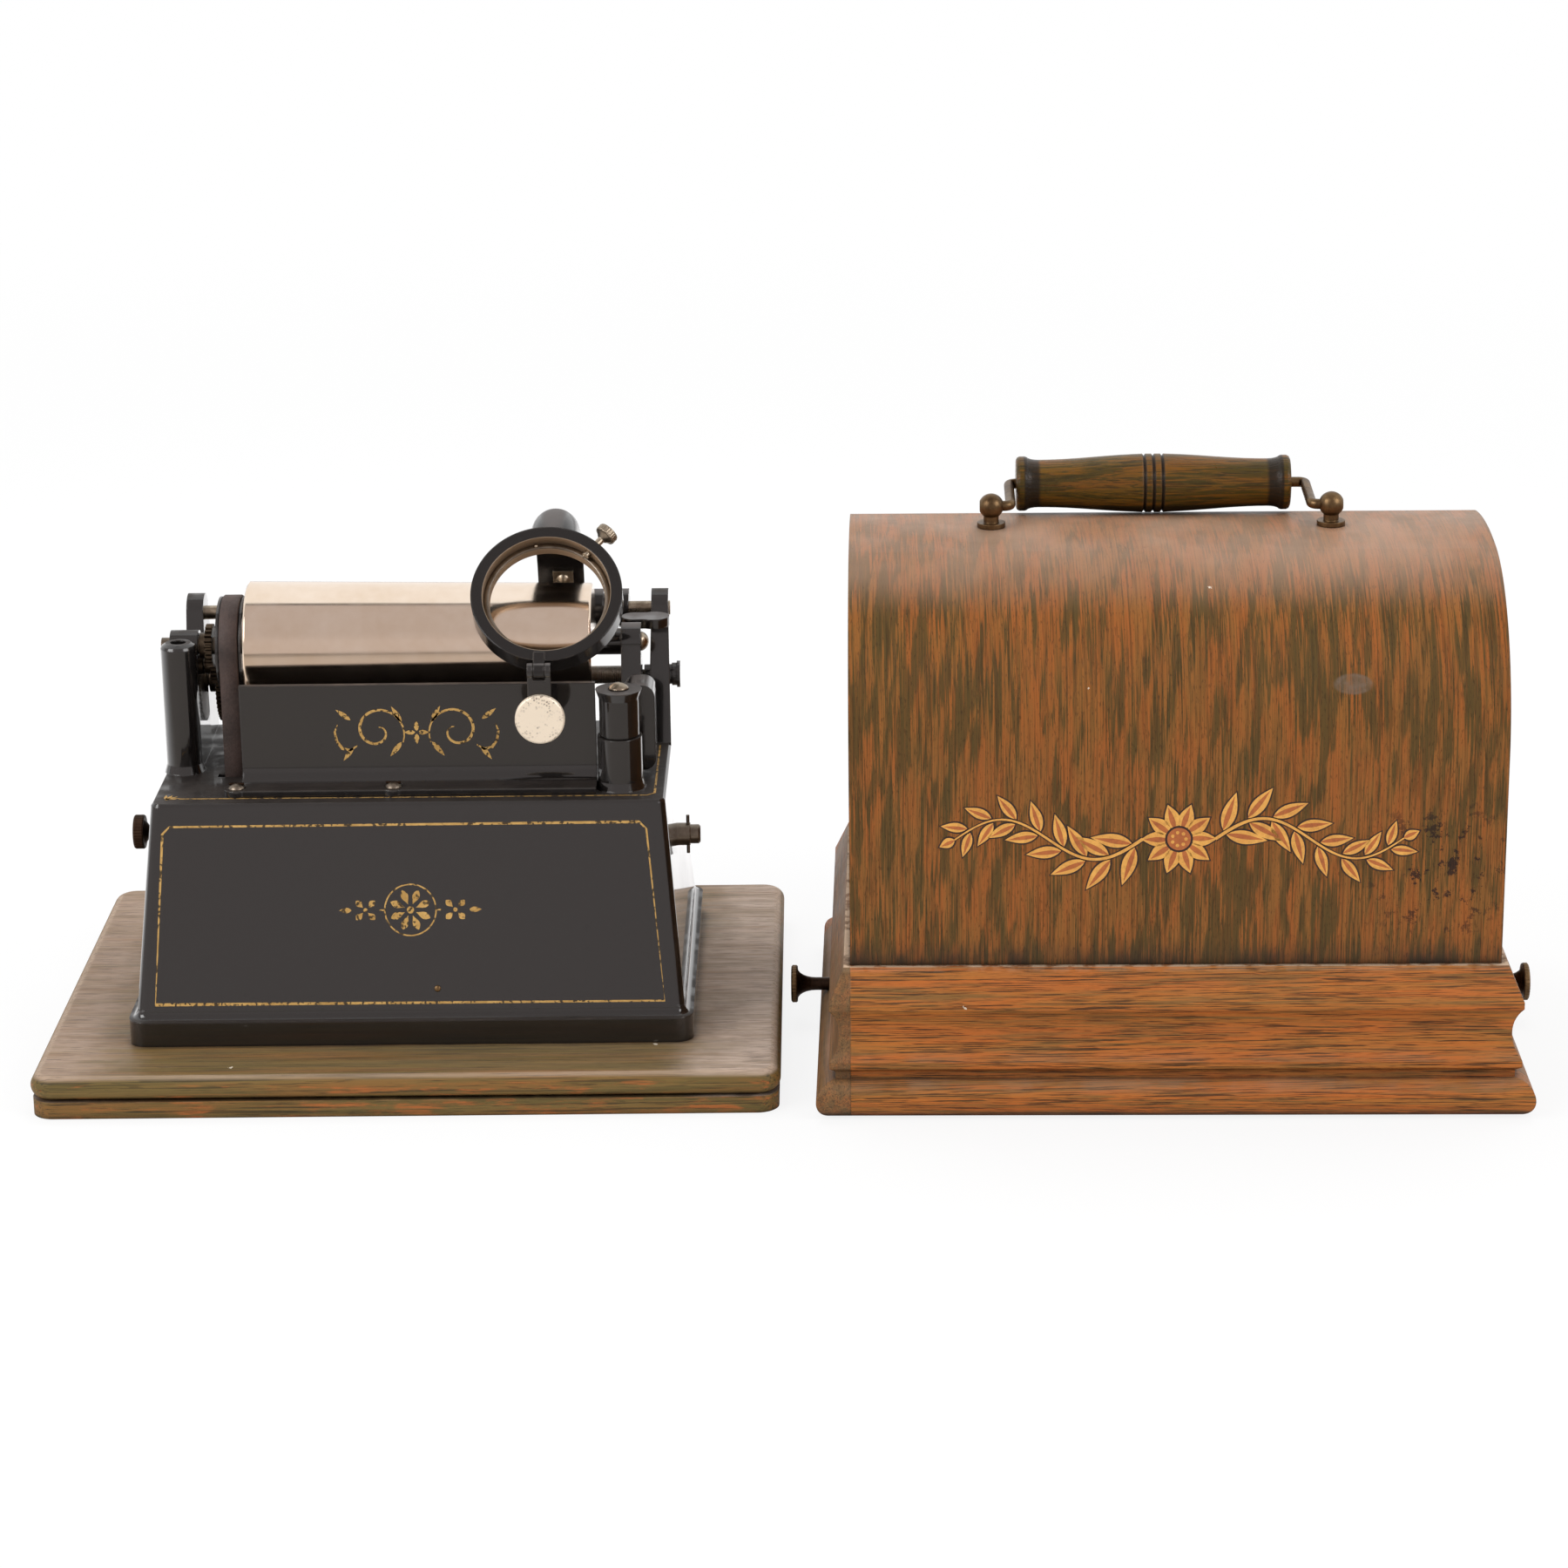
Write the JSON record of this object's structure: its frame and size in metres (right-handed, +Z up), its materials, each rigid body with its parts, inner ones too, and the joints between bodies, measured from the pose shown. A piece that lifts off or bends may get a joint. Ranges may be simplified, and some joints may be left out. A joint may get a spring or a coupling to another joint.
{
  "type": "cylinder phonograph",
  "caption": "Table-top spring-driven cylinder phonograph on an oak base, with belt-driven mandrel, feed screw, sliding carriage and swing gate, and its domed oak lid standing beside it.",
  "frame": {"origin": "centre of the underside of the baseboard", "axes": "+Z up, front of the machine towards -Y, winding shaft and lid towards +X"},
  "size_m": [0.5179, 0.2095, 0.2015],
  "materials": {
    "japanned_iron": "gloss black japan over cast iron, worn at the edges",
    "board_oak": "weathered oak, greyed",
    "lid_oak": "varnished oak",
    "grip_wood": "turned oak, oiled and darkened",
    "nickel": "aged nickel plate",
    "steel": "oiled steel",
    "brass": "dull brass",
    "bronzed_metal": "oxidised brass",
    "belt_leather": "dark brown leather"
  },
  "bodies": {
    "machine": {"baseboard_top": "board_oak", "baseboard_bottom": "board_oak", "base_screws": "steel", "body_casting": "japanned_iron", "straight_edge": "japanned_iron", "straight_edge_screws": "bronzed_metal", "drive_belt": "belt_leather", "idler_stud": "steel", "feed_pivot": "japanned_iron", "gate_hinge_pin": "nickel", "motor_plate_left": "steel", "motor_plate_middle": "steel", "motor_plate_right": "steel", "motor_pillars": "steel"},
    "mandrel_assembly": {"mandrel": "nickel", "mandrel_shaft": "steel", "mandrel_pulley": "japanned_iron", "mandrel_gear": "brass"},
    "idler": {"idler_gear": "brass"},
    "feed": {"feed_screw": "steel", "feed_gear": "brass"},
    "rod": {"back_rod": "nickel"},
    "carriage_assembly": {"carriage": "japanned_iron", "half_nut": "brass", "nut_plate": "brass"},
    "clamp": {"clamp_screw": "nickel"},
    "lever": {"lift_lever": "japanned_iron", "thumb_disc": "nickel"},
    "gate_assembly": {"gate": "japanned_iron", "gate_centre": "nickel"},
    "latch": {"gate_latch": "japanned_iron"},
    "speed": {"speed_screw": "bronzed_metal"},
    "barrel": {"spring_barrel": "brass", "barrel_cover": "brass", "mainspring": "steel"},
    "winding": {"winding_arbor": "steel", "ratchet_wheel": "steel"},
    "pawl": {"ratchet_pawl": "steel"},
    "second": {"second_arbor": "steel", "second_wheel": "brass"},
    "drive": {"drive_arbor": "steel", "drive_pulley": "japanned_iron", "governor_wheel": "brass"},
    "governor": {"governor_shaft": "steel", "governor_disc": "brass", "governor_springs": "steel", "governor_weights": "brass"},
    "brake": {"brake_lever": "steel"},
    "lid": {"lid_shell": "lid_oak", "lid_end_left": "lid_oak", "lid_end_right": "lid_oak", "lid_moulding_front": "lid_oak", "lid_moulding_back": "lid_oak", "lid_moulding_left": "lid_oak", "lid_moulding_right": "lid_oak", "handle_studs": "bronzed_metal"},
    "bail": {"handle_bail": "bronzed_metal"},
    "grip": {"handle_grip": "grip_wood"},
    "left_screw": {"lid_screw_left": "bronzed_metal"},
    "right_screw": {"lid_screw_right": "bronzed_metal"}
  },
  "joints": [
    {"name": "mandrel_spin", "type": "hinge", "parent": "machine", "child": "mandrel_assembly", "pos_m": [0, 0.002, 0.1373], "axis": [1, 0, 0], "continuous": true},
    {"name": "idler_spin", "type": "hinge", "parent": "machine", "child": "idler", "pos_m": [-0.072, 0.01196, 0.12774], "axis": [1, 0, 0], "continuous": true},
    {"name": "feed_spin", "type": "hinge", "parent": "machine", "child": "feed", "pos_m": [0, 0.03, 0.117], "axis": [1, 0, 0], "continuous": true},
    {"name": "drive_spin", "type": "hinge", "parent": "machine", "child": "drive", "pos_m": [0, 0.002, 0.045], "axis": [1, 0, 0], "continuous": true},
    {"name": "second_spin", "type": "hinge", "parent": "machine", "child": "second", "pos_m": [0, 0.02184, 0.05354], "axis": [1, 0, 0], "continuous": true},
    {"name": "barrel_spin", "type": "hinge", "parent": "machine", "child": "barrel", "pos_m": [0.05, 0, 0.0667], "axis": [1, 0, 0], "continuous": true},
    {"name": "governor_spin", "type": "hinge", "parent": "machine", "child": "governor", "pos_m": [0, -0.01191, 0.05062], "axis": [1, 0, 0], "continuous": true},
    {"name": "winding_spin", "type": "hinge", "parent": "machine", "child": "winding", "pos_m": [0.06, 0, 0.0667], "axis": [1, 0, 0], "continuous": true},
    {"name": "pawl_swing", "type": "hinge", "parent": "machine", "child": "pawl", "pos_m": [0.0819, -0.016, 0.0762], "axis": [-1, 0, 0], "range_deg": [0, 15]},
    {"name": "speed_turn", "type": "hinge", "parent": "machine", "child": "speed", "pos_m": [-0.095, 0, 0.0696], "axis": [1, 0, 0], "continuous": true},
    {"name": "brake_swing", "type": "hinge", "parent": "machine", "child": "brake", "pos_m": [-0.04, 0.014, 0.0696], "axis": [0, 0, 1], "range_deg": [-4, 2]},
    {"name": "carriage_lift", "type": "hinge", "parent": "machine", "child": "rod", "pos_m": [0, 0.039, 0.1392], "axis": [-1, 0, 0], "range_deg": [0, 16]},
    {"name": "carriage_slide", "type": "slide", "parent": "rod", "child": "carriage_assembly", "axis": [1, 0, 0], "range_m": [-0.09, 0.006]},
    {"name": "clamp_turn", "type": "hinge", "parent": "carriage_assembly", "child": "clamp", "pos_m": [0.0484, -0.02541, 0.16128], "axis": [0.6428, 0.5283, 0.5548], "continuous": true},
    {"name": "lever_swing", "type": "hinge", "parent": "carriage_assembly", "child": "lever", "pos_m": [0.0464, -0.04641, 0.14097], "axis": [-1, 0, 0], "range_deg": [0, 50]},
    {"name": "gate_swing", "type": "hinge", "parent": "machine", "child": "gate_assembly", "pos_m": [0.0725, -0.032, 0.113], "axis": [0, 0, -1], "range_deg": [0, 100]},
    {"name": "latch_swing", "type": "hinge", "parent": "gate_assembly", "child": "latch", "pos_m": [0.0767, 0.014, 0.139], "axis": [0, 0, 1], "range_deg": [0, 35]},
    {"name": "lid_lift", "type": "slide", "parent": "machine", "child": "lid", "axis": [0, 0, 1], "range_m": [0, 0.25]},
    {"name": "bail_swing", "type": "hinge", "parent": "lid", "child": "bail", "pos_m": [0.2582, -0.02196, 0.1902], "axis": [0.9998, -0.0192, 0], "range_deg": [0, 174]},
    {"name": "grip_turn", "type": "hinge", "parent": "bail", "child": "grip", "pos_m": [0.25732, 0.00506, 0.19137], "axis": [0.9998, -0.0192, 0], "continuous": true},
    {"name": "left_screw_turn", "type": "hinge", "parent": "lid", "child": "left_screw", "pos_m": [0.14058, -0.0117, 0.014], "axis": [0.9998, -0.0192, 0], "continuous": true},
    {"name": "right_screw_turn", "type": "hinge", "parent": "lid", "child": "right_screw", "pos_m": [0.38053, -0.01631, 0.014], "axis": [0.9998, -0.0192, 0], "continuous": true}
  ],
  "couplings": [
    {"joint": "idler_spin", "follows": "mandrel_spin", "ratio": -1.0909},
    {"joint": "feed_spin", "follows": "mandrel_spin", "ratio": 0.5},
    {"joint": "drive_spin", "follows": "mandrel_spin", "ratio": 1},
    {"joint": "second_spin", "follows": "mandrel_spin", "ratio": -0.2},
    {"joint": "barrel_spin", "follows": "mandrel_spin", "ratio": 0.042857},
    {"joint": "governor_spin", "follows": "mandrel_spin", "ratio": -4}
  ]
}
